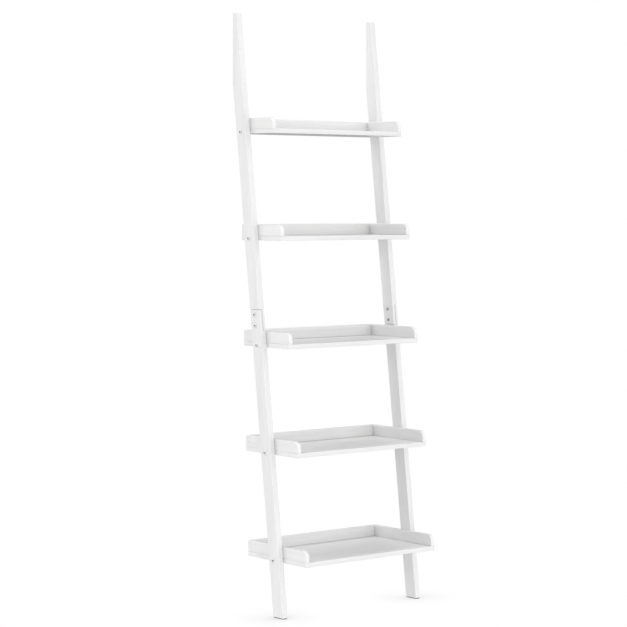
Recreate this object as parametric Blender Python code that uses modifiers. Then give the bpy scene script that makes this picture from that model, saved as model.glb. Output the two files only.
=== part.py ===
"""Ladder shelf that leans on a wall.

Two side rails, each in a lower and an upper length half-lapped together, carry five open
trays. Button-head bolts pass through the rails into barrel nuts in the tray boards.

Frame: metres, +Z up, floor at Z = 0, the wall is the plane at the greatest Y, X = 0 is midway
between the rails, and Y = 0 is midway between the wall and the front of the lowest tray.
"""
from math import cos, pi, radians, sin

import bmesh
import bpy
from mathutils import Matrix, Vector

# Overall
HEIGHT = 1.900
WIDTH = 0.578                 # over the outer faces of the rails
GAP = 0.0003                  # clearance between pieces that touch

# Rails
RAIL_THICKNESS = 0.020
RAIL_DEPTH = 0.048            # front to back, measured level
LEAN = 0.1254                 # run towards the wall for each metre of rise
TOP_DEPTH = 0.020             # what the wall cut leaves of the depth at the top
LAP_LOW = 0.899               # the lap's lower end, seen on the inner face
LAP_HIGH = 0.963              # the lap's upper end, seen on the outer face
LAP_SEAM = 0.0005             # open seam at the two ends of the lap
PAD_THICKNESS = 0.002
PAD_INSET = 0.0008

# Trays
SHELF_COUNT = 5
LOWEST_UNDERSIDE = 0.173
SHELF_PITCH = 0.336
BOARD_THICKNESS = 0.014
PANEL_THICKNESS = 0.014
TRAY_HEIGHT = 0.050
TOP_TRAY_DEPTH = 0.170
TRAY_DEPTH_STEP = 0.031
OVERHANG = 0.112              # tray front ahead of the rails' front edge
PANEL_CORNER = 0.022          # radius of a side panel's top front corner

# Eased edges
RAIL_EASE = 0.0015
BOARD_EASE = 0.0020
PANEL_EASE = 0.0018

# Bolts, nuts and their bores
BOLT_HEIGHT = 0.0065          # above a board's underside
BOLT_SETBACK = 0.026          # behind the rails' front edge
SPLICE_HEIGHTS = (0.913, 0.948)
BOLT_RADIUS = 0.003
HEAD_RADIUS = 0.00525
HEAD_HEIGHT = 0.0030
HEX_KEY = 0.004               # across flats
HEX_DEPTH = 0.0018
SHELF_BOLT_LENGTH = 0.058
SPLICE_BOLT_LENGTH = 0.0175
BORE_RADIUS = 0.0034
BORE_DEPTH = 0.042            # from a board's end
NUT_INSET = 0.030             # from a board's end
NUT_RADIUS = 0.005
NUT_LENGTH = 0.010
NUT_POCKET_DEPTH = 0.0118
NUT_SLOT_WIDTH = 0.0014
NUT_SLOT_DEPTH = 0.0010
SLEEVE_RADIUS = 0.004
SLEEVE_LENGTH = 0.0092
SLEEVE_CAP_RADIUS = 0.005
SLEEVE_CAP_HEIGHT = 0.0018
HEAD_FLAT_SHARE = 0.55        # of the head's radius that its flat top takes
HEAD_RIM_SHARE = 0.20         # of the head's height that its upright rim takes

# Fineness
ROUND_SIDES = 12
DOME_STEPS = 3
CORNER_STEPS = 8
EASE_SEGMENTS = 2
EASED_ANGLE = radians(40)     # edges sharper than this are eased
SHARP_ANGLE = radians(35)     # edges sharper than this are shaded as corners
MERGE = 0.00001
THROUGH = 3                   # a cutter's length over the thickness that it passes through

# Derived
RAIL_OUTER = WIDTH / 2
RAIL_INNER = RAIL_OUTER - RAIL_THICKNESS
TRAY_WIDTH = 2 * (RAIL_INNER - GAP)
LAP_PLANE = RAIL_OUTER - RAIL_THICKNESS / 2
RAIL_FOOT = PAD_THICKNESS + GAP
LOWEST_MIDDLE = LOWEST_UNDERSIDE + BOARD_THICKNESS / 2
TOTAL_DEPTH = TOP_DEPTH + (HEIGHT - LOWEST_MIDDLE) * LEAN + OVERHANG
WALL_Y = TOTAL_DEPTH / 2
WALL_CUT = HEIGHT - (RAIL_DEPTH - TOP_DEPTH) / LEAN
NUT_X = TRAY_WIDTH / 2 - NUT_INSET
LEFT = -1
RIGHT = 1
SIDES = ((LEFT, "left"), (RIGHT, "right"))


def rail_front(height):
    """Y of the rails' front edge at a height."""
    return WALL_Y - TOP_DEPTH - (HEIGHT - height) * LEAN


def shelf_underside(number):
    """Height of a tray's underside; tray 1 is the top one."""
    return LOWEST_UNDERSIDE + (SHELF_COUNT - number) * SHELF_PITCH


def tray_depth(number):
    return TOP_TRAY_DEPTH + (number - 1) * TRAY_DEPTH_STEP


def tray_front(number):
    return rail_front(shelf_underside(number) + BOARD_THICKNESS / 2) - OVERHANG


def bolt_place(height):
    """Y and Z of a bolt through the rails at a height."""
    return rail_front(height) + BOLT_SETBACK, height


# ---------------------------------------------------------------- scene helpers

def clear_scene():
    for item in list(bpy.data.objects):
        bpy.data.objects.remove(item, do_unlink=True)


def new_collection(name):
    collection = bpy.data.collections.new(name)
    bpy.context.scene.collection.children.link(collection)
    return collection


def material(name, colour, roughness, metallic=0.0):
    result = bpy.data.materials.new(name)
    result.use_nodes = True
    shader = result.node_tree.nodes["Principled BSDF"]
    shader.inputs["Base Color"].default_value = (*colour, 1.0)
    shader.inputs["Roughness"].default_value = roughness
    shader.inputs["Metallic"].default_value = metallic
    return result


def add_object(name, mesh, surface, location=(0, 0, 0), rotation=(0, 0, 0)):
    """One sub-part: its mesh, material and place."""
    item = bpy.data.objects.new(name, mesh)
    item.location = location
    item.rotation_euler = rotation
    if not mesh.materials:
        mesh.materials.append(surface)
    PARTS.objects.link(item)
    return item


def add_cutter(name, mesh, location=(0, 0, 0)):
    item = bpy.data.objects.new(name, mesh)
    item.location = location
    item.hide_render = True
    item.display_type = "WIRE"
    CUTTERS.objects.link(item)
    return item


def cut(item, cutter):
    boolean = item.modifiers.new(cutter.name, "BOOLEAN")
    boolean.operation = "DIFFERENCE"
    boolean.solver = "EXACT"
    boolean.object = cutter


def ease_edges(item, width):
    bevel = item.modifiers.new("eased_edges", "BEVEL")
    bevel.width = width
    bevel.segments = EASE_SEGMENTS
    bevel.limit_method = "ANGLE"
    bevel.angle_limit = EASED_ANGLE


# ---------------------------------------------------------------- shapes

def box_mesh(name, size):
    shape = bmesh.new()
    bmesh.ops.create_cube(shape, size=1.0)
    bmesh.ops.scale(shape, vec=size, verts=shape.verts)
    mesh = bpy.data.meshes.new(name)
    shape.to_mesh(mesh)
    shape.free()
    return mesh


def rods_mesh(name, rods, radius, sides=ROUND_SIDES):
    """Several separate rods in one mesh; each rod is its centre, its length and its axis."""
    shape = bmesh.new()
    for centre, length, axis in rods:
        turn = Vector((0, 0, 1)).rotation_difference(Vector(axis)).to_matrix().to_4x4()
        place = Matrix.Translation(centre) @ turn
        bmesh.ops.create_cone(shape, cap_ends=True, segments=sides, radius1=radius,
                              radius2=radius, depth=length, matrix=place)
    mesh = bpy.data.meshes.new(name)
    shape.to_mesh(mesh)
    shape.free()
    return mesh


def side_outline_mesh(name, outline, thickness):
    """A plate of a thickness along X whose outline is given in Y and Z."""
    curve = bpy.data.curves.new(name, "CURVE")
    curve.dimensions = "2D"
    curve.fill_mode = "BOTH"
    curve.extrude = thickness / 2
    spline = curve.splines.new("POLY")
    spline.points.add(len(outline) - 1)
    for point, (across, up) in zip(spline.points, outline):
        point.co = (across, up, 0, 1)
    spline.use_cyclic_u = True
    guide = bpy.data.objects.new(name + "_outline", curve)
    guide.rotation_euler = (radians(90), 0, radians(90))
    bpy.context.scene.collection.objects.link(guide)
    bpy.context.view_layer.update()
    evaluated = guide.evaluated_get(bpy.context.evaluated_depsgraph_get())
    mesh = bpy.data.meshes.new_from_object(evaluated)
    mesh.name = name
    mesh.transform(guide.matrix_world)
    bpy.data.objects.remove(guide, do_unlink=True)
    shape = bmesh.new()
    shape.from_mesh(mesh)
    bmesh.ops.remove_doubles(shape, verts=shape.verts, dist=MERGE)
    bmesh.ops.dissolve_limit(shape, angle_limit=0.001, verts=shape.verts, edges=shape.edges)
    bmesh.ops.recalc_face_normals(shape, faces=shape.faces)
    shape.to_mesh(mesh)
    shape.free()
    return mesh


def turned_mesh(name, profile, cutter=None):
    """A profile of radius and height, top to bottom, turned about Z, less a cutter."""
    outline = bpy.data.meshes.new(name + "_profile")
    points = [(radius, 0, height) for radius, height in profile]
    edges = [(index, index + 1) for index in range(len(points) - 1)]
    outline.from_pydata(points, edges, [])
    lathe = bpy.data.objects.new(name + "_lathe", outline)
    bpy.context.scene.collection.objects.link(lathe)
    screw = lathe.modifiers.new("turn", "SCREW")
    screw.steps = ROUND_SIDES
    screw.render_steps = ROUND_SIDES
    screw.use_merge_vertices = True
    screw.merge_threshold = MERGE
    if cutter:
        cut(lathe, cutter)
    bpy.context.view_layer.update()
    evaluated = lathe.evaluated_get(bpy.context.evaluated_depsgraph_get())
    mesh = bpy.data.meshes.new_from_object(evaluated)
    mesh.name = name
    bpy.data.objects.remove(lathe, do_unlink=True)
    mesh.shade_smooth()
    mesh.set_sharp_from_angle(angle=SHARP_ANGLE)
    return mesh


# ---------------------------------------------------------------- rails

def lower_rail_outline():
    top = LAP_HIGH - LAP_SEAM / 2
    return [(rail_front(RAIL_FOOT), RAIL_FOOT),
            (rail_front(RAIL_FOOT) + RAIL_DEPTH, RAIL_FOOT),
            (rail_front(top) + RAIL_DEPTH, top),
            (rail_front(top), top)]


def upper_rail_outline():
    bottom = LAP_LOW + LAP_SEAM / 2
    return [(rail_front(bottom), bottom),
            (rail_front(bottom) + RAIL_DEPTH, bottom),
            (WALL_Y, WALL_CUT),
            (WALL_Y, HEIGHT),
            (rail_front(HEIGHT), HEIGHT)]


def lap_cutter(name, side, inner, low, high):
    """A block that takes the inner or the outer half of a rail away between two heights."""
    depth = THROUGH * RAIL_DEPTH
    wide = RAIL_THICKNESS
    middle = (low + high) / 2
    offset = (-wide if inner else wide) / 2 + (GAP if inner else -GAP) / 2
    mesh = box_mesh(name, (wide, depth, high - low))
    place = (side * (LAP_PLANE + offset), rail_front(middle) + RAIL_DEPTH / 2, middle)
    return add_cutter(name, mesh, place)


def rail_bores(name, side, bores, radius):
    rods = []
    for height in bores:
        y, z = bolt_place(height)
        rods.append(((side * LAP_PLANE, y, z), THROUGH * RAIL_THICKNESS, (1, 0, 0)))
    return add_cutter(name, rods_mesh(name, rods, radius))


def build_rail(side, word, level, paint):
    lower = level == "lower"
    name = f"{word}_rail_{level}"
    outline = lower_rail_outline() if lower else upper_rail_outline()
    mesh = side_outline_mesh(name, outline, RAIL_THICKNESS)
    rail = add_object(name, mesh, paint, (side * LAP_PLANE, 0, 0))
    reach = 2 * (LAP_HIGH - LAP_LOW)
    if lower:
        low = LAP_LOW - LAP_SEAM / 2
        cut(rail, lap_cutter(name + "_lap", side, True, low, low + reach))
    else:
        high = LAP_HIGH + LAP_SEAM / 2
        cut(rail, lap_cutter(name + "_lap", side, False, high - reach, high))
    ease_edges(rail, RAIL_EASE)
    heights = []
    for number in range(1, SHELF_COUNT + 1):
        height = shelf_underside(number) + BOLT_HEIGHT
        if (height < LAP_LOW) == lower:
            heights.append(height)
    cut(rail, rail_bores(name + "_shelf_bores", side, heights, BORE_RADIUS))
    splice_radius = BORE_RADIUS if lower else SLEEVE_RADIUS + GAP
    cut(rail, rail_bores(name + "_splice_bores", side, SPLICE_HEIGHTS, splice_radius))


def build_foot_pad(side, word, rubber):
    depth = RAIL_DEPTH - 2 * PAD_INSET
    width = RAIL_THICKNESS - 2 * PAD_INSET
    mesh = box_mesh(f"{word}_foot_pad", (width, depth, PAD_THICKNESS))
    middle = rail_front(RAIL_FOOT) + RAIL_DEPTH / 2
    place = (side * LAP_PLANE, middle, PAD_THICKNESS / 2)
    add_object(f"{word}_foot_pad", mesh, rubber, place)


# ---------------------------------------------------------------- trays

def build_board(number, paint):
    name = f"shelf_{number}_board"
    under = shelf_underside(number)
    depth = tray_depth(number)
    middle = tray_front(number) + depth / 2
    mesh = box_mesh(name, (TRAY_WIDTH, depth, BOARD_THICKNESS))
    board = add_object(name, mesh, paint, (0, middle, under + BOARD_THICKNESS / 2))
    ease_edges(board, BOARD_EASE)
    y, z = bolt_place(under + BOLT_HEIGHT)
    bores = []
    pockets = []
    for side, _word in SIDES:
        bore_middle = side * (TRAY_WIDTH / 2 - BORE_DEPTH / 2 + BORE_RADIUS)
        bores.append(((bore_middle, y, z), BORE_DEPTH + 2 * BORE_RADIUS, (1, 0, 0)))
        pockets.append(((side * NUT_X, y, under), 2 * NUT_POCKET_DEPTH, (0, 0, 1)))
    cut(board, add_cutter(name + "_bores", rods_mesh(name + "_bores", bores, BORE_RADIUS)))
    pocket_mesh = rods_mesh(name + "_pockets", pockets, NUT_RADIUS + GAP)
    cut(board, add_cutter(name + "_pockets", pocket_mesh))


def build_back_panel(number, paint):
    name = f"shelf_{number}_back_panel"
    bottom = shelf_underside(number) + BOARD_THICKNESS + GAP
    top = shelf_underside(number) + TRAY_HEIGHT
    mesh = box_mesh(name, (TRAY_WIDTH, PANEL_THICKNESS, top - bottom))
    y = tray_front(number) + tray_depth(number) - PANEL_THICKNESS / 2
    panel = add_object(name, mesh, paint, (0, y, (bottom + top) / 2))
    ease_edges(panel, PANEL_EASE)


def side_panel_outline(number):
    """Outline in Y and Z, with the top front corner rounded."""
    front = tray_front(number)
    back = front + tray_depth(number) - PANEL_THICKNESS - GAP
    bottom = shelf_underside(number) + BOARD_THICKNESS + GAP
    top = shelf_underside(number) + TRAY_HEIGHT
    outline = [(front, bottom), (back, bottom), (back, top)]
    for step in range(CORNER_STEPS + 1):
        angle = pi / 2 * (1 + step / CORNER_STEPS)
        outline.append((front + PANEL_CORNER * (1 + cos(angle)), top - PANEL_CORNER * (1 - sin(angle))))
    return outline


def build_side_panel(number, side, word, paint):
    name = f"shelf_{number}_{word}_panel"
    mesh = side_outline_mesh(name, side_panel_outline(number), PANEL_THICKNESS)
    panel = add_object(name, mesh, paint, (side * (TRAY_WIDTH - PANEL_THICKNESS) / 2, 0, 0))
    ease_edges(panel, PANEL_EASE)


# ---------------------------------------------------------------- bolts and nuts

def hex_cutter():
    """A hexagonal key socket in a bolt's head."""
    mesh = rods_mesh("hex_socket", [((0, 0, HEAD_HEIGHT), 2 * HEX_DEPTH, (0, 0, 1))],
                     HEX_KEY / 2 / cos(pi / 6), sides=6)
    return add_cutter("hex_socket", mesh)


def bolt_mesh(name, length, socket):
    """A button-head bolt; the head's underside is at height 0 and the shank points down."""
    chamfer = BOLT_RADIUS / 3
    dome = [(0, HEAD_HEIGHT)]
    flat = HEAD_RADIUS * HEAD_FLAT_SHARE
    rim = HEAD_HEIGHT * HEAD_RIM_SHARE
    for step in range(DOME_STEPS + 1):
        angle = pi / 2 * step / DOME_STEPS
        dome.append((flat + (HEAD_RADIUS - flat) * sin(angle),
                     rim + (HEAD_HEIGHT - rim) * cos(angle)))
    shank = [(HEAD_RADIUS, 0), (BOLT_RADIUS, 0), (BOLT_RADIUS, -length + chamfer),
             (BOLT_RADIUS - chamfer, -length), (0, -length)]
    return turned_mesh(name, dome + shank, socket)


def sleeve_mesh():
    """A capped sleeve nut; the cap's underside is at height 0 and the sleeve points down."""
    round_over = SLEEVE_CAP_HEIGHT / 2
    profile = [(0, SLEEVE_CAP_HEIGHT),
               (SLEEVE_CAP_RADIUS - round_over, SLEEVE_CAP_HEIGHT),
               (SLEEVE_CAP_RADIUS - round_over / 3, SLEEVE_CAP_HEIGHT - round_over / 3),
               (SLEEVE_CAP_RADIUS, SLEEVE_CAP_HEIGHT - round_over),
               (SLEEVE_CAP_RADIUS, 0),
               (SLEEVE_RADIUS, 0),
               (SLEEVE_RADIUS, -SLEEVE_LENGTH),
               (BORE_RADIUS, -SLEEVE_LENGTH),
               (BORE_RADIUS, -GAP),
               (0, -GAP)]
    return turned_mesh("sleeve_nut", profile)


def barrel_nut_mesh():
    """A barrel nut standing on Z with its threaded hole along X and a slot underneath."""
    rod = ((0, 0, 0), 2 * THROUGH * NUT_RADIUS, (1, 0, 0))
    hole = add_cutter("nut_hole", rods_mesh("nut_hole", [rod], BORE_RADIUS))
    slot_place = (0, 0, -NUT_LENGTH / 2)
    slot_size = (NUT_SLOT_WIDTH, 2 * THROUGH * NUT_RADIUS, 2 * NUT_SLOT_DEPTH)
    slot = add_cutter("nut_slot", box_mesh("nut_slot", slot_size), slot_place)
    body = rods_mesh("barrel_nut_body", [((0, 0, 0), NUT_LENGTH, (0, 0, 1))], NUT_RADIUS)
    blank = bpy.data.objects.new("barrel_nut_blank", body)
    bpy.context.scene.collection.objects.link(blank)
    cut(blank, hole)
    cut(blank, slot)
    bpy.context.view_layer.update()
    evaluated = blank.evaluated_get(bpy.context.evaluated_depsgraph_get())
    mesh = bpy.data.meshes.new_from_object(evaluated)
    mesh.name = "barrel_nut"
    bpy.data.objects.remove(blank, do_unlink=True)
    mesh.shade_smooth()
    mesh.set_sharp_from_angle(angle=SHARP_ANGLE)
    return mesh


def outward(side):
    """Rotation that turns a fastener's own +Z to the outside of its rail."""
    return (0, side * radians(90), 0)


def build_shelf_fasteners(number, bolt, nut, steel, zinc):
    y, z = bolt_place(shelf_underside(number) + BOLT_HEIGHT)
    for side, word in SIDES:
        head = (side * (RAIL_OUTER + GAP), y, z)
        add_object(f"shelf_{number}_{word}_bolt", bolt, steel, head, outward(side))
        add_object(f"shelf_{number}_{word}_barrel_nut", nut, zinc, (side * NUT_X, y, z))


def build_splice_fasteners(bolt, sleeve, steel, zinc):
    for position, height in zip(("lower", "upper"), SPLICE_HEIGHTS):
        y, z = bolt_place(height)
        for side, word in SIDES:
            head = (side * (RAIL_OUTER + GAP), y, z)
            cap = (side * (RAIL_INNER - GAP), y, z)
            add_object(f"{word}_splice_{position}_bolt", bolt, steel, head, outward(side))
            add_object(f"{word}_splice_{position}_sleeve_nut", sleeve, zinc, cap, outward(-side))


def build():
    paint = material("white_paint", (0.84, 0.84, 0.83), 0.42)
    steel = material("bolt_steel", (0.46, 0.46, 0.45), 0.32, 1.0)
    zinc = material("zinc_plate", (0.56, 0.57, 0.58), 0.38, 1.0)
    rubber = material("pad_rubber", (0.16, 0.16, 0.16), 0.80)
    for side, word in SIDES:
        for level in ("lower", "upper"):
            build_rail(side, word, level, paint)
        build_foot_pad(side, word, rubber)
    socket = hex_cutter()
    shelf_bolt = bolt_mesh("shelf_bolt", SHELF_BOLT_LENGTH, socket)
    splice_bolt = bolt_mesh("splice_bolt", SPLICE_BOLT_LENGTH, socket)
    nut = barrel_nut_mesh()
    sleeve = sleeve_mesh()
    for number in range(1, SHELF_COUNT + 1):
        build_board(number, paint)
        build_back_panel(number, paint)
        for side, word in SIDES:
            build_side_panel(number, side, word, paint)
        build_shelf_fasteners(number, shelf_bolt, nut, steel, zinc)
    build_splice_fasteners(splice_bolt, sleeve, steel, zinc)


clear_scene()
PARTS = new_collection("ladder_shelf")
CUTTERS = new_collection("cutters")
build()
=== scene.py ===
"""Looks of the ladder shelf: white painted wood, steel bolts, zinc nuts and rubber foot pads."""
from math import cos, pi, radians, sin

import bmesh
import bpy
from mathutils import Matrix, Vector


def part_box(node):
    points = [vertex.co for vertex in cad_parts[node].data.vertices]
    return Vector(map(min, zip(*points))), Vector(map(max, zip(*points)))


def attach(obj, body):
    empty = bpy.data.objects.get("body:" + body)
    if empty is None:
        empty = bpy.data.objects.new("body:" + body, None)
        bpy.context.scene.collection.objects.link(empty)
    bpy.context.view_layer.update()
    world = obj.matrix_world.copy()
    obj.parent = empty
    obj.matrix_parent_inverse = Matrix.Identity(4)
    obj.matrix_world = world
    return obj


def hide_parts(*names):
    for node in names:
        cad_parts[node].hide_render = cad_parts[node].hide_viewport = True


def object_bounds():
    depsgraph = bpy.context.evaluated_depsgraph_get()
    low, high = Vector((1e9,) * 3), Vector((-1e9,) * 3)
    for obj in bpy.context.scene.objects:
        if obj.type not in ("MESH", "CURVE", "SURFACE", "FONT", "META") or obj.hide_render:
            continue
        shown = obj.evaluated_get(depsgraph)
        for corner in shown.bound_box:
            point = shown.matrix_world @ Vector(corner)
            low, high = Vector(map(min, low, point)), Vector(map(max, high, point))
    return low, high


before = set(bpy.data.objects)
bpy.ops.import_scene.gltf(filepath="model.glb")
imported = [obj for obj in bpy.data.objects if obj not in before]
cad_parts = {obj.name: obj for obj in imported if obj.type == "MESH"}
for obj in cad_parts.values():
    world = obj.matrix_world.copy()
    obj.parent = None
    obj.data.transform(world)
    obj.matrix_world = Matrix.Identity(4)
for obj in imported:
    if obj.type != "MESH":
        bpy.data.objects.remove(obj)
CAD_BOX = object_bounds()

SIDES = ("left", "right")
LEVELS = ("lower", "upper")       # of a rail's lengths and of the bolts through its lap
SHELVES = (1, 2, 3, 4, 5)         # from the top

# Camera: aimed at an offset from the middle of the object's height
VIEW_AZIMUTH = radians(-39.359)
VIEW_ELEVATION = radians(3.0114)
VIEW_ROLL = radians(0.097)
VIEW_DISTANCE = 6.874
VIEW_LENS = 122.83                # mm
VIEW_SENSOR = 36                  # mm
VIEW_AIM = Vector((-0.0588, 0.0483, -0.0059))

# Soft studio light. Each softbox is where it shines from, as degrees around from +X towards +Y
# and degrees up, and its strength.
SOFTBOXES = (
    (270, 0, 2.70),       # front
    (135, 40, 2.15),      # left rear, high
    (165, -40, 1.75),     # left, low
    (0, 90, 1.45),        # overhead
    (0, 0, 1.20),         # right, weak
)
SOFTBOX_FOCUS = 4
WHITE = (1, 1, 1, 1)

FLOOR_REACH = 400.0
CONTACT_REACH = 0.15      # how far from a foot the floor's shadow shows
CONTACT_SHADE = 0.5       # the floor's brightness right beside a foot
CONTACT_SAMPLES = 16

# Smoothness of the meshes
FINE = 0.00001
SAME_FACE_ANGLE = radians(0.5)
EASED_ANGLE = radians(30)
WOOD_SHARP_ANGLE = radians(35)
METAL_SHARP_ANGLE = radians(32)
EASE_SEGMENTS = 4
ROD_SIDES = 40
TURN_STEPS = 48
FULL_WEIGHT = 100

# Wood. Joint values are the share of the easing along edges that meet a neighbour.
RAIL_EASE = 0.0015
BOARD_EASE = 0.0020
PANEL_EASE = 0.0018
PANEL_CORNER = 0.022
CORNER_STEPS = 20
TIGHT_JOINT = 0.2
GROOVED_JOINT = 0.55      # a panel's foot, inside the tray
OUTER_JOINT = 0.35        # a panel's foot, outside the tray
LAP_SEAM = 0.0012         # open seam at the lap's two ends
CHEEK_GAP = 0.0016        # open seam between the lap's two halves

# Bores in the wood
BOLT_BORE = 0.0034        # radius
SLEEVE_BORE = 0.0043      # radius
BOARD_BORE_LENGTH = 0.0455
POCKET_CLEARANCE = 0.0003

# Bolts: heights are measured outwards from under the head
HEAD_HEIGHT = 0.0030
HEAD_FLAT_SHARE = 0.50
HEAD_RIM_SHARE = 0.16
HEAD_CHAMFER_SHARE = 0.35
DOME_STEPS = 10
HEX_ACROSS = 0.004
HEX_DEPTH = 0.0018
SHANK = 0.003             # radius
NECK_FILLET = 0.0003
NECK_FILLET_LENGTH = 0.0004
NECK_SHARE = 0.45         # plain part of the shank
THREAD_PITCH = 0.001
THREAD_DEPTH = 0.00045
THREAD_END = 0.001
TIP_SHOULDER = 0.0006
TIP_CHAMFER = 0.0009
TIP_CHAMFER_LENGTH = 0.0002

# Sleeve nuts
CAP_HEIGHT = 0.0018
CAP_EDGE_SHARE = 0.45
CAP_EDGE_STEPS = 6
CAP_UNDERCUT = 0.0002
BARREL = 0.004            # radius
BARREL_CHAMFER = 0.0004
SLEEVE_HOLE = 0.0034      # radius
SLEEVE_HOLE_END = 0.0003
CAP_SLOT_HALF = 0.0006
CAP_SLOT_DEPTH = 0.0009

# Barrel nuts
NUT_CHAMFER = 0.0004
NUT_SLOT_HALF = 0.0007
NUT_SLOT_DEPTH = 0.0010

# Foot pads
PAD_CORNER = 0.003
PAD_CORNER_SEGMENTS = 6
PAD_RIM = 0.0003
PAD_RIM_SEGMENTS = 2
PAD_RIM_ANGLE = radians(60)

# Tones of the finishes
PAINT_SHADE = (0.735, 0.735, 0.735)
PAINT_BODY = (0.795, 0.795, 0.793)
PAINT_PORES = (0.64, 0.64, 0.63)
PAINT_CLOUDS = (0.81, 0.81, 0.808)
# Painted highlight: a lighter paint tone along the eased edges and over a side panel's front end
PAINT_EDGE_HIGHLIGHT = (0.88, 0.88, 0.875)
STEEL_TONES = ((0.62, 0.62, 0.61), (0.72, 0.72, 0.71))
ZINC_TONES = ((0.34, 0.345, 0.35), (0.44, 0.445, 0.45))
# Painted shade: near black at the bottom of sockets and slots
RECESS_SHADE = (0.02, 0.02, 0.02)
RUBBER_TONES = ((0.10, 0.10, 0.10), (0.15, 0.148, 0.145))

# Turns that bring the grain's direction onto X
GRAIN_ALONG_X = (0, 0, 0)
GRAIN_ALONG_Y = (0, 0, -pi / 2)
GRAIN_UPRIGHT = (0, pi / 2, 0)


# ---------------------------------------------------------------- frame facts

def side_sign(side):
    return -1 if side == "left" else 1


def across_and_up(node):
    """Middle of a fastener's box in Y and Z."""
    low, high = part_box(node)
    return (low.y + high.y) / 2, (low.z + high.z) / 2


class RailShape:
    """The rails' lean and section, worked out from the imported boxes."""

    def __init__(self):
        low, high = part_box("left_rail_lower")
        upper_low, upper_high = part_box("left_rail_upper")
        self.foot = low.z
        self.lap_high = high.z
        self.lap_low = upper_low.z
        self.lap_length = self.lap_high - self.lap_low
        self.top = upper_high.z
        self.wall = upper_high.y
        self.lean = (upper_low.y - low.y) / (upper_low.z - low.z)
        self.front_at_foot = low.y - RAIL_EASE * self.lean
        reach = self.lean * (self.lap_high - self.foot)
        self.depth = high.y + RAIL_EASE * self.lean - self.front_at_foot - reach
        self.thickness = high.x - low.x

    def front(self, height):
        return self.front_at_foot + (height - self.foot) * self.lean

    def back(self, height):
        return self.front(height) + self.depth

    def wall_cut(self):
        """Height where the upright wall face meets the leaning back edge."""
        return self.foot + (self.wall - self.depth - self.front_at_foot) / self.lean


RAIL = RailShape()


# ---------------------------------------------------------------- mesh helpers

def link_object(name, shape):
    """An object from a bmesh whose points are already in place."""
    mesh = bpy.data.meshes.new(name)
    shape.to_mesh(mesh)
    shape.free()
    item = bpy.data.objects.new(name, mesh)
    bpy.context.scene.collection.objects.link(item)
    return item


def solid_object(name, shape):
    """The same, with the faces turned outwards."""
    bmesh.ops.recalc_face_normals(shape, faces=shape.faces)
    return link_object(name, shape)


def apply_modifiers(item):
    """Replaces the object's mesh by the one that its modifiers make."""
    bpy.context.view_layer.update()
    evaluated = item.evaluated_get(bpy.context.evaluated_depsgraph_get())
    mesh = bpy.data.meshes.new_from_object(evaluated)
    item.modifiers.clear()
    item.data = mesh


def shade(item, sharp_angle):
    item.data.shade_smooth()
    item.data.set_sharp_from_angle(angle=sharp_angle)


def shade_by_faces(item):
    """Soft shading over the eased edges and flat shading on the broad faces."""
    shade(item, WOOD_SHARP_ANGLE)
    weighted = item.modifiers.new("face_weighted_normals", "WEIGHTED_NORMAL")
    weighted.keep_sharp = True
    weighted.weight = FULL_WEIGHT


def both_at(place, start, end):
    """Whether an edge's two ends lie at the same place on an axis."""
    return abs(start - place) < FINE and abs(end - place) < FINE


def ease_edges(item, width, share):
    """Rounds the edges; share gives the part of the width that an edge gets."""
    shape = bmesh.new()
    shape.from_mesh(item.data)
    bmesh.ops.dissolve_limit(shape, angle_limit=SAME_FACE_ANGLE, verts=shape.verts,
                             edges=shape.edges)
    weights = shape.edges.layers.float.new("bevel_weight_edge")
    for edge in shape.edges:
        if edge.calc_face_angle(0) > EASED_ANGLE:
            start, end = (vert.co for vert in edge.verts)
            edge[weights] = share(start, end)
    shape.to_mesh(item.data)
    shape.free()
    bevel = item.modifiers.new("eased_edges", "BEVEL")
    bevel.width = width
    bevel.segments = EASE_SEGMENTS
    bevel.limit_method = "WEIGHT"
    bevel.material = 1
    item.data.materials.append(None)
    item.data.materials.append(None)
    apply_modifiers(item)
    mark_eased_edges(item)


def mark_eased_edges(item):
    """Stores 1 in the attribute edge along the rounded edges, and 0 on the flat faces; there the
    paint gets its painted highlight.
    """
    mesh = item.data
    flat_verts = set()
    for face in mesh.polygons:
        if face.material_index == 0:
            flat_verts.update(face.vertices)
        face.material_index = 0
    edge = mesh.attributes.new("edge", "FLOAT", "POINT")
    for index, value in enumerate(edge.data):
        value.value = 0.0 if index in flat_verts else 1.0
    mesh.materials.clear()


def box_shape(low, high):
    shape = bmesh.new()
    bmesh.ops.create_cube(shape, size=1.0)
    bmesh.ops.scale(shape, vec=high - low, verts=shape.verts)
    bmesh.ops.translate(shape, vec=(low + high) / 2, verts=shape.verts)
    return shape


def side_plate_shape(outline, low_x, high_x):
    """A plate between two X planes whose outline is given in Y and Z."""
    shape = bmesh.new()
    ring = [shape.verts.new((low_x, across, up)) for across, up in outline]
    face = shape.faces.new(ring)
    grown = bmesh.ops.extrude_face_region(shape, geom=[face])
    moved = [item for item in grown["geom"] if isinstance(item, bmesh.types.BMVert)]
    bmesh.ops.translate(shape, vec=(high_x - low_x, 0, 0), verts=moved)
    return shape


def rod_shape(rods, sides=ROD_SIDES):
    """Separate rods; each is its centre, its axis, its radius and its length."""
    shape = bmesh.new()
    for centre, axis, radius, length in rods:
        turn = Vector((0, 0, 1)).rotation_difference(Vector(axis)).to_matrix().to_4x4()
        bmesh.ops.create_cone(shape, cap_ends=True, segments=sides, radius1=radius, radius2=radius,
                              depth=length, matrix=Matrix.Translation(centre) @ turn)
    return shape


def cut_away(item, shape):
    """Takes a bmesh's volume out of an object."""
    cutter = solid_object("cutter", shape)
    boolean = item.modifiers.new("cut", "BOOLEAN")
    boolean.operation = "DIFFERENCE"
    boolean.solver = "EXACT"
    boolean.object = cutter
    apply_modifiers(item)
    bpy.data.objects.remove(cutter, do_unlink=True)


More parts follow.
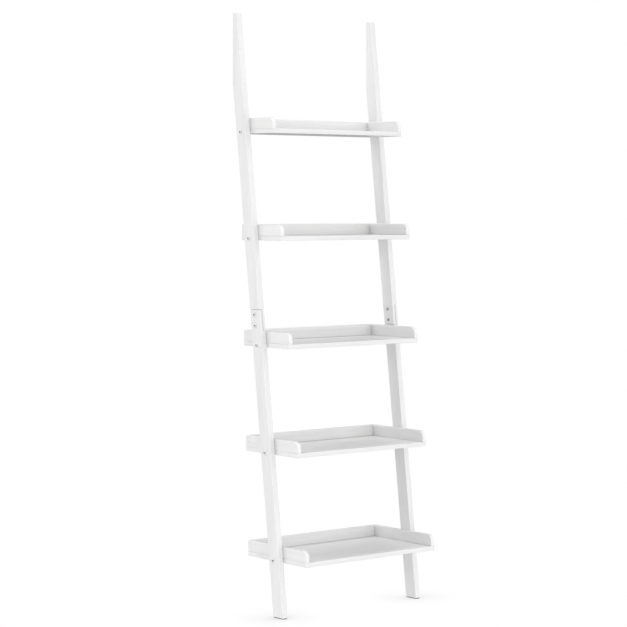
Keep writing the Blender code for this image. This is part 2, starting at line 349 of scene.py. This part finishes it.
def turned_object(name, profile):
    """A profile of radius and height, top to bottom, turned about its own Z."""
    shape = bmesh.new()
    points = [shape.verts.new((radius, 0, height)) for radius, height in profile]
    for start, end in zip(points, points[1:]):
        shape.edges.new((start, end))
    item = link_object(name, shape)
    screw = item.modifiers.new("turn", "SCREW")
    screw.steps = TURN_STEPS
    screw.render_steps = TURN_STEPS
    screw.use_merge_vertices = True
    screw.merge_threshold = FINE
    apply_modifiers(item)
    return item


def arc(centre, radius, start, end, steps):
    """Points on an arc, from one angle to another."""
    points = []
    for step in range(steps + 1):
        angle = start + (end - start) * step / steps
        points.append((centre[0] + radius * cos(angle), centre[1] + radius * sin(angle)))
    return points


def stand_for(item, node, material):
    """Finishes a piece: its look, its body and the CAD node that it stands for."""
    item.data.materials.clear()
    item.data.materials.append(material)
    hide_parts(node)
    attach(item, "root")


# ---------------------------------------------------------------- materials

class NodeGraph:
    """Short calls that build the nodes of a material or of the world."""

    def __init__(self, owner):
        owner.use_nodes = True
        self.owner = owner
        self.tree = owner.node_tree

    def add(self, kind, **settings):
        node = self.tree.nodes.new(kind)
        for key, value in settings.items():
            setattr(node, key, value)
        return node

    def link(self, source, target):
        self.tree.links.new(source, target)

    def place(self):
        return self.add("ShaderNodeTexCoord").outputs["Object"]

    def attribute(self, name):
        return self.add("ShaderNodeAttribute", attribute_name=name).outputs["Fac"]

    def stretched(self, source, scale, turn=(0, 0, 0)):
        mapping = self.add("ShaderNodeMapping")
        mapping.inputs["Rotation"].default_value = turn
        mapping.inputs["Scale"].default_value = scale
        self.link(source, mapping.inputs["Vector"])
        return mapping.outputs["Vector"]

    def noise(self, vector, scale, detail, roughness=0.5, distortion=0.0):
        node = self.add("ShaderNodeTexNoise")
        node.inputs["Scale"].default_value = scale
        node.inputs["Detail"].default_value = detail
        node.inputs["Roughness"].default_value = roughness
        node.inputs["Distortion"].default_value = distortion
        self.link(vector, node.inputs["Vector"])
        return node.outputs["Fac"]

    def remap(self, source, low_in, high_in, low_out, high_out):
        node = self.add("ShaderNodeMapRange", clamp=True)
        node.inputs["From Min"].default_value = low_in
        node.inputs["From Max"].default_value = high_in
        node.inputs["To Min"].default_value = low_out
        node.inputs["To Max"].default_value = high_out
        self.link(source, node.inputs["Value"])
        return node.outputs["Result"]

    def math(self, operation, *values):
        node = self.add("ShaderNodeMath", operation=operation)
        for socket, value in zip(node.inputs, values):
            if isinstance(value, (int, float)):
                socket.default_value = value
            else:
                self.link(value, socket)
        return node.outputs["Value"]

    def mix_colour(self, factor, first, second):
        node = self.add("ShaderNodeMix", data_type="RGBA")
        self.link(factor, node.inputs[0])
        for index, value in ((6, first), (7, second)):
            if isinstance(value, tuple):
                node.inputs[index].default_value = (*value, 1.0)
            else:
                self.link(value, node.inputs[index])
        return node.outputs[2]

    def bump(self, height, strength, distance, normal=None):
        node = self.add("ShaderNodeBump")
        node.inputs["Strength"].default_value = strength
        node.inputs["Distance"].default_value = distance
        self.link(height, node.inputs["Height"])
        if normal is not None:
            self.link(normal, node.inputs["Normal"])
        return node.outputs["Normal"]

    def finish_surface(self, tone, roughness, normal):
        """Feeds the shader and gives its socket list for the constant values."""
        shader = self.tree.nodes["Principled BSDF"].inputs
        self.link(tone, shader["Base Color"])
        self.link(roughness, shader["Roughness"])
        self.link(normal, shader["Normal"])
        return shader


def painted_wood(name, grain_turn):
    """White satin paint over wood: broad figure, fine pores, soft clouds and a painted highlight
    along the eased edges.
    """
    graph = NodeGraph(bpy.data.materials.new(name))
    place = graph.place()
    along = graph.stretched(place, (1, 1, 1), grain_turn)
    figure = graph.noise(graph.stretched(along, (1.6, 34, 34)), 1.0, 4.0, 0.55, 0.6)
    pores = graph.noise(graph.stretched(along, (14, 620, 620)), 1.0, 3.0, 0.6)
    pore_lines = graph.remap(pores, 0.36, 0.52, 0.0, 1.0)
    clouds = graph.noise(place, 5.0, 2.0)
    roller = graph.noise(place, 900.0, 2.0)
    tone = graph.mix_colour(graph.remap(figure, 0.35, 0.65, 0.0, 1.0), PAINT_SHADE, PAINT_BODY)
    tone = graph.mix_colour(graph.remap(pore_lines, 0.0, 1.0, 0.35, 0.0), tone, PAINT_PORES)
    tone = graph.mix_colour(graph.remap(clouds, 0.3, 0.7, 0.0, 0.25), tone, PAINT_CLOUDS)
    # Painted highlight: lighter tone where the attribute edge is 1
    tone = graph.mix_colour(graph.math("MULTIPLY", graph.attribute("edge"), 0.45), tone, PAINT_EDGE_HIGHLIGHT)
    roughness = graph.remap(figure, 0.3, 0.7, 0.40, 0.52)
    grain_bump = graph.bump(pore_lines, 0.25, 0.00012)
    paint_bump = graph.bump(roller, 0.10, 0.00010, grain_bump)
    shader = graph.finish_surface(tone, roughness, paint_bump)
    shader["Coat Weight"].default_value = 0.15
    shader["Coat Roughness"].default_value = 0.30
    return graph.owner


def worked_metal(name, tones, roughness, grain_scale):
    """Satin metal with fine tool marks, a little mottling and painted shade in the recesses."""
    graph = NodeGraph(bpy.data.materials.new(name))
    place = graph.place()
    marks = graph.noise(graph.stretched(place, (grain_scale, grain_scale / 6, grain_scale)), 1.0, 4.0)
    mottle = graph.noise(place, 260.0, 3.0)
    tone = graph.mix_colour(graph.remap(mottle, 0.3, 0.7, 0.0, 1.0), *tones)
    # Painted shade: darkens the metal where the attribute recess is 1
    tone = graph.mix_colour(graph.math("MULTIPLY", graph.attribute("recess"), 0.92), tone, RECESS_SHADE)
    uneven = graph.remap(marks, 0.3, 0.7, roughness - 0.07, roughness + 0.09)
    shader = graph.finish_surface(tone, uneven, graph.bump(marks, 0.20, 0.00004))
    shader["Metallic"].default_value = 1.0
    return graph.owner


def crumbly_rubber(name):
    """Dull rubber with a fine crumb and a little dust."""
    graph = NodeGraph(bpy.data.materials.new(name))
    place = graph.place()
    crumbs = graph.noise(place, 1500.0, 4.0)
    dust = graph.noise(place, 120.0, 3.0)
    tone = graph.mix_colour(graph.remap(dust, 0.35, 0.7, 0.0, 1.0), *RUBBER_TONES)
    roughness = graph.remap(crumbs, 0.3, 0.7, 0.72, 0.92)
    graph.finish_surface(tone, roughness, graph.bump(crumbs, 0.5, 0.0002))
    return graph.owner


PAINT_ALONG_X = painted_wood("white_paint_grain_x", GRAIN_ALONG_X)
PAINT_ALONG_Y = painted_wood("white_paint_grain_y", GRAIN_ALONG_Y)
PAINT_ON_RAILS = painted_wood("white_paint_grain_rail", GRAIN_UPRIGHT)
STEEL = worked_metal("bolt_steel", STEEL_TONES, 0.30, 3000)
ZINC = worked_metal("zinc_plate", ZINC_TONES, 0.36, 2500)
RUBBER = crumbly_rubber("pad_rubber")


# ---------------------------------------------------------------- rails

def rail_outline(level):
    """A rail length's side outline, in Y and Z."""
    if level == "lower":
        return [(RAIL.front(RAIL.foot), RAIL.foot), (RAIL.back(RAIL.foot), RAIL.foot),
                (RAIL.back(RAIL.lap_high), RAIL.lap_high),
                (RAIL.front(RAIL.lap_high), RAIL.lap_high)]
    return [(RAIL.front(RAIL.lap_low), RAIL.lap_low), (RAIL.back(RAIL.lap_low), RAIL.lap_low),
            (RAIL.wall, RAIL.wall_cut()), (RAIL.wall, RAIL.top), (RAIL.front(RAIL.top), RAIL.top)]


def rail_bores(side, level):
    """The bores through one length of a rail."""
    low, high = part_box(f"{side}_rail_{level}")
    middle_x = (low.x + high.x) / 2
    through = 3 * RAIL.thickness
    bores = []
    for number in SHELVES:
        y, z = across_and_up(f"shelf_{number}_{side}_bolt")
        if low.z < z < high.z:
            bores.append(((middle_x, y, z), (1, 0, 0), BOLT_BORE, through))
    radius = BOLT_BORE if level == "lower" else SLEEVE_BORE
    for splice in LEVELS:
        y, z = across_and_up(f"{side}_splice_{splice}_bolt")
        bores.append(((middle_x, y, z), (1, 0, 0), radius, through))
    return bores


def build_rail(side, level):
    """A length of a rail, with its half of the lap cut away."""
    node = f"{side}_rail_{level}"
    low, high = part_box(node)
    rail = solid_object(node + "_wood", side_plate_shape(rail_outline(level), low.x, high.x))
    thick = RAIL.thickness
    middle = (low.x + high.x) / 2
    outward = side_sign(side)
    if level == "lower":
        bottom, top = RAIL.lap_high - LAP_SEAM - RAIL.lap_length, RAIL.lap_high + thick
        cheek, away = middle + outward * CHEEK_GAP / 2, middle - outward * thick
    else:
        bottom, top = RAIL.lap_low - thick, RAIL.lap_low + LAP_SEAM + RAIL.lap_length
        cheek, away = middle - outward * CHEEK_GAP / 2, middle + outward * thick
    cut_low = Vector((min(cheek, away), low.y - thick, bottom))
    cut_high = Vector((max(cheek, away), high.y + thick, top))
    cut_away(rail, box_shape(cut_low, cut_high))
    lap_ends = (bottom, top, RAIL.lap_low, RAIL.lap_high)

    def share(start, end):
        on_cheek = both_at(cheek, start.x, end.x)
        at_end = any(both_at(height, start.z, end.z) for height in lap_ends)
        return TIGHT_JOINT if on_cheek or at_end else 1.0

    ease_edges(rail, RAIL_EASE, share)
    cut_away(rail, rod_shape(rail_bores(side, level)))
    shade_by_faces(rail)
    stand_for(rail, node, PAINT_ON_RAILS)


def build_pad(side):
    node = f"{side}_foot_pad"
    shape = box_shape(*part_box(node))
    upright = [edge for edge in shape.edges
               if abs(edge.verts[0].co.z - edge.verts[1].co.z) > FINE]
    bmesh.ops.bevel(shape, geom=upright, offset=PAD_CORNER, segments=PAD_CORNER_SEGMENTS,
                    profile=0.5, affect="EDGES")
    rims = [edge for edge in shape.edges if edge.calc_face_angle(0) > PAD_RIM_ANGLE]
    bmesh.ops.bevel(shape, geom=rims, offset=PAD_RIM, segments=PAD_RIM_SEGMENTS,
                    profile=0.5, affect="EDGES")
    pad = solid_object(node + "_disc", shape)
    shade_by_faces(pad)
    stand_for(pad, node, RUBBER)


# ---------------------------------------------------------------- trays

def build_board(number):
    """A tray's bottom, with a bore in each end and a pocket from below for each barrel nut."""
    node = f"shelf_{number}_board"
    low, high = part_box(node)
    board = solid_object(node + "_wood", box_shape(low, high))

    def share(start, end):
        under_panels = both_at(high.z, start.z, end.z)
        at_front = both_at(low.y, start.y, end.y)
        return TIGHT_JOINT if under_panels and not at_front else 1.0

    ease_edges(board, BOARD_EASE, share)
    bores = []
    pockets = []
    for side in SIDES:
        y, z = across_and_up(f"shelf_{number}_{side}_bolt")
        end = high.x if side == "right" else low.x
        bores.append(((end, y, z), (1, 0, 0), BOLT_BORE, 2 * BOARD_BORE_LENGTH))
        nut_low, nut_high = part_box(f"shelf_{number}_{side}_barrel_nut")
        radius = (nut_high.x - nut_low.x) / 2 + POCKET_CLEARANCE
        depth = nut_high.z + POCKET_CLEARANCE - low.z
        pockets.append((((nut_low.x + nut_high.x) / 2, y, low.z), (0, 0, 1), radius, 2 * depth))
    cut_away(board, rod_shape(bores))
    cut_away(board, rod_shape(pockets))
    shade_by_faces(board)
    stand_for(board, node, PAINT_ALONG_X)


def build_back_panel(number):
    node = f"shelf_{number}_back_panel"
    low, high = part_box(node)
    panel = solid_object(node + "_wood", box_shape(low, high))

    def share(start, end):
        if not both_at(low.z, start.z, end.z):
            return 1.0
        return GROOVED_JOINT if both_at(low.y, start.y, end.y) else TIGHT_JOINT

    ease_edges(panel, PANEL_EASE, share)
    shade_by_faces(panel)
    stand_for(panel, node, PAINT_ALONG_X)


def build_side_panel(number, side):
    """A tray's side, with its top front corner rounded and a painted highlight over its front end."""
    node = f"shelf_{number}_{side}_panel"
    low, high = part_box(node)
    centre = (low.y + PANEL_CORNER, high.z - PANEL_CORNER)
    corner = arc(centre, PANEL_CORNER, pi / 2, pi, CORNER_STEPS)
    outline = [(low.y, low.z), (high.y, low.z), (high.y, high.z)] + corner
    panel = solid_object(node + "_wood", side_plate_shape(outline, low.x, high.x))
    inner_x = high.x if side == "left" else low.x

    def share(start, end):
        if both_at(low.z, start.z, end.z):
            return GROOVED_JOINT if both_at(inner_x, start.x, end.x) else OUTER_JOINT
        return TIGHT_JOINT if both_at(high.y, start.y, end.y) else 1.0

    ease_edges(panel, PANEL_EASE, share)
    # The whole front end takes the painted highlight of the eased edges
    edge = panel.data.attributes["edge"]
    for vert, value in zip(panel.data.vertices, edge.data):
        between_sides = low.x + FINE < vert.co.x < high.x - FINE
        if between_sides and vert.co.y < low.y + PANEL_CORNER - FINE:
            value.value = 1.0
    shade_by_faces(panel)
    stand_for(panel, node, PAINT_ALONG_Y)


# ---------------------------------------------------------------- bolts and nuts

def mark_recess(item, bottom):
    """Stores 1 in the attribute recess at the bottom of a socket or slot, and 0 elsewhere; there the
    metal gets its painted shade.
    """
    recess = item.data.attributes.new("recess", "FLOAT", "POINT")
    for vert, value in zip(item.data.vertices, recess.data):
        value.value = 1.0 if abs(vert.co.z - bottom) < FINE else 0.0


def aim_sideways(item, sign, centre):
    """Turns a fastener's own +Z to +X or -X and puts it in place."""
    turn = Matrix.Rotation(sign * pi / 2, 4, "Y")
    item.data.transform(Matrix.Translation(centre) @ turn)


def head_profile(radius):
    """A low dome with a flat middle, down to the chamfer under its rim."""
    flat = radius * HEAD_FLAT_SHARE
    rim = HEAD_HEIGHT * HEAD_RIM_SHARE
    chamfer = rim * HEAD_CHAMFER_SHARE
    points = [(0, HEAD_HEIGHT), (flat, HEAD_HEIGHT)]
    for step in range(1, DOME_STEPS + 1):
        angle = pi / 2 * step / DOME_STEPS
        across = flat + (radius - flat) * sin(angle)
        points.append((across, rim + (HEAD_HEIGHT - rim) * cos(angle)))
    return points + [(radius, chamfer), (radius - chamfer, 0)]


def thread_profile(top, bottom):
    """The zigzag of the thread's crests and roots, from top to bottom."""
    root = SHANK - THREAD_DEPTH
    points = []
    for index in range(int((top - bottom) / THREAD_PITCH)):
        start = top - index * THREAD_PITCH
        points.append((SHANK, start))
        points.append((SHANK, start - THREAD_PITCH * 0.15))
        points.append((root, start - THREAD_PITCH * 0.5))
        points.append((root, start - THREAD_PITCH * 0.65))
    return points


def build_bolt(node, side):
    """A button-head bolt with a hexagonal socket, a plain neck and a threaded end."""
    low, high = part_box(node)
    length = (high.x - low.x) - HEAD_HEIGHT
    neck = [(SHANK + NECK_FILLET, 0), (SHANK, -NECK_FILLET_LENGTH)]
    thread = thread_profile(-length * NECK_SHARE, -length + THREAD_END)
    tip = [(SHANK - TIP_SHOULDER, -length + TIP_CHAMFER_LENGTH), (SHANK - TIP_CHAMFER, -length),
           (0, -length)]
    bolt = turned_object(node + "_steel", head_profile((high.z - low.z) / 2) + neck + thread + tip)
    socket_radius = HEX_ACROSS / 2 / cos(pi / 6)
    socket = ((0, 0, HEAD_HEIGHT), (0, 0, 1), socket_radius, 2 * HEX_DEPTH)
    cut_away(bolt, rod_shape([socket], sides=6))
    mark_recess(bolt, HEAD_HEIGHT - HEX_DEPTH)
    head_x = (high.x - HEAD_HEIGHT) if side == "right" else (low.x + HEAD_HEIGHT)
    aim_sideways(bolt, side_sign(side), Vector((head_x, *across_and_up(node))))
    shade(bolt, METAL_SHARP_ANGLE)
    stand_for(bolt, node, STEEL)


def build_sleeve_nut(node, side):
    """A capped sleeve nut whose cap shows on the rail's inner face, with a driver slot."""
    low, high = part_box(node)
    radius = (high.z - low.z) / 2
    length = (high.x - low.x) - CAP_HEIGHT
    edge = CAP_HEIGHT * CAP_EDGE_SHARE
    profile = [(0, CAP_HEIGHT)]
    profile += arc((radius - edge, CAP_HEIGHT - edge), edge, pi / 2, 0, CAP_EDGE_STEPS)
    profile += [(radius, CAP_UNDERCUT), (radius - CAP_UNDERCUT, 0), (BARREL, 0),
                (BARREL, -length + BARREL_CHAMFER), (BARREL - BARREL_CHAMFER, -length),
                (SLEEVE_HOLE, -length), (SLEEVE_HOLE, -SLEEVE_HOLE_END), (0, -SLEEVE_HOLE_END)]
    nut = turned_object(node + "_zinc", profile)
    slot_low = Vector((-CAP_SLOT_HALF, -2 * radius, CAP_HEIGHT - CAP_SLOT_DEPTH))
    slot_high = Vector((CAP_SLOT_HALF, 2 * radius, 2 * CAP_HEIGHT))
    cut_away(nut, box_shape(slot_low, slot_high))
    mark_recess(nut, CAP_HEIGHT - CAP_SLOT_DEPTH)
    cap_x = (low.x + CAP_HEIGHT) if side == "right" else (high.x - CAP_HEIGHT)
    aim_sideways(nut, -side_sign(side), Vector((cap_x, *across_and_up(node))))
    shade(nut, METAL_SHARP_ANGLE)
    stand_for(nut, node, ZINC)


def build_barrel_nut(node):
    """A barrel nut standing upright, with its cross hole along X and a slot underneath."""
    low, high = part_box(node)
    radius = (high.x - low.x) / 2
    half = (high.z - low.z) / 2
    profile = [(0, half), (radius - NUT_CHAMFER, half), (radius, half - NUT_CHAMFER),
               (radius, NUT_CHAMFER - half), (radius - NUT_CHAMFER, -half), (0, -half)]
    nut = turned_object(node + "_zinc", profile)
    cut_away(nut, rod_shape([((0, 0, 0), (1, 0, 0), BOLT_BORE, 4 * radius)]))
    slot_low = Vector((-NUT_SLOT_HALF, -2 * radius, -2 * half))
    slot_high = Vector((NUT_SLOT_HALF, 2 * radius, NUT_SLOT_DEPTH - half))
    cut_away(nut, box_shape(slot_low, slot_high))
    nut.data.transform(Matrix.Translation((low + high) / 2))
    shade(nut, METAL_SHARP_ANGLE)
    stand_for(nut, node, ZINC)


# ---------------------------------------------------------------- studio

def direction(around, up):
    """Unit vector at two angles: around from +X towards +Y, and up."""
    return Vector((cos(around) * cos(up), sin(around) * cos(up), sin(up)))


def build_camera():
    aim = Vector((0, 0, CAD_BOX[1].z / 2)) + VIEW_AIM
    back = direction(VIEW_AZIMUTH - pi / 2, VIEW_ELEVATION)
    right = direction(VIEW_AZIMUTH, 0)
    up = back.cross(right)
    rolled_right = right * cos(VIEW_ROLL) + up * sin(VIEW_ROLL)
    rolled_up = up * cos(VIEW_ROLL) - right * sin(VIEW_ROLL)
    turn = Matrix((rolled_right, rolled_up, back)).transposed().to_4x4()
    data = bpy.data.cameras.new("camera")
    data.lens = VIEW_LENS
    data.sensor_width = VIEW_SENSOR
    camera = bpy.data.objects.new("camera", data)
    camera.matrix_world = Matrix.Translation(aim + back * VIEW_DISTANCE) @ turn
    bpy.context.scene.collection.objects.link(camera)
    bpy.context.scene.camera = camera


def build_floor():
    """A white floor that darkens only close to what stands on it."""
    shape = bmesh.new()
    bmesh.ops.create_grid(shape, x_segments=1, y_segments=1, size=FLOOR_REACH)
    floor = solid_object("floor", shape)
    graph = NodeGraph(bpy.data.materials.new("floor_white"))
    nodes = graph.tree.nodes
    near = graph.add("ShaderNodeAmbientOcclusion", samples=CONTACT_SAMPLES)
    near.inputs["Distance"].default_value = CONTACT_REACH
    glow = graph.add("ShaderNodeEmission")
    graph.link(graph.remap(near.outputs["AO"], 0.0, 1.0, CONTACT_SHADE, 1.0), glow.inputs["Strength"])
    graph.link(glow.outputs["Emission"], nodes["Material Output"].inputs["Surface"])
    nodes.remove(nodes["Principled BSDF"])
    graph.owner.cycles.emission_sampling = "NONE"
    floor.data.materials.append(graph.owner)
    floor.visible_diffuse = False
    floor.visible_glossy = False
    floor.visible_shadow = False


def build_world():
    """Softboxes all round for the shelf, and plain white where the camera sees past it."""
    graph = NodeGraph(bpy.data.worlds.new("soft_studio"))
    bpy.context.scene.world = graph.owner
    nodes = graph.tree.nodes
    towards = graph.add("ShaderNodeTexCoord").outputs["Generated"]
    light = 0.0
    for around, up, strength in SOFTBOXES:
        facing = graph.add("ShaderNodeVectorMath", operation="DOT_PRODUCT")
        facing.inputs[1].default_value = direction(radians(around), radians(up))
        graph.link(towards, facing.inputs[0])
        lobe = graph.math("MAXIMUM", facing.outputs["Value"], 0.0)
        lobe = graph.math("POWER", lobe, SOFTBOX_FOCUS)
        light = graph.math("MULTIPLY_ADD", lobe, strength, light)
    studio = nodes["Background"]
    studio.inputs["Color"].default_value = WHITE
    graph.link(light, studio.inputs["Strength"])
    backdrop = graph.add("ShaderNodeBackground")
    backdrop.inputs["Color"].default_value = WHITE
    shown = graph.add("ShaderNodeMixShader")
    graph.link(graph.add("ShaderNodeLightPath").outputs["Is Camera Ray"], shown.inputs[0])
    graph.link(studio.outputs[0], shown.inputs[1])
    graph.link(backdrop.outputs[0], shown.inputs[2])
    graph.link(shown.outputs[0], nodes["World Output"].inputs["Surface"])


build_camera()
build_floor()
build_world()
bpy.context.scene.view_settings.view_transform = "Standard"
for side in SIDES:
    for level in LEVELS:
        build_rail(side, level)
    build_pad(side)
    for splice in LEVELS:
        build_bolt(f"{side}_splice_{splice}_bolt", side)
        build_sleeve_nut(f"{side}_splice_{splice}_sleeve_nut", side)
for number in SHELVES:
    build_board(number)
    build_back_panel(number)
    for side in SIDES:
        build_side_panel(number, side)
        build_bolt(f"shelf_{number}_{side}_bolt", side)
        build_barrel_nut(f"shelf_{number}_{side}_barrel_nut")
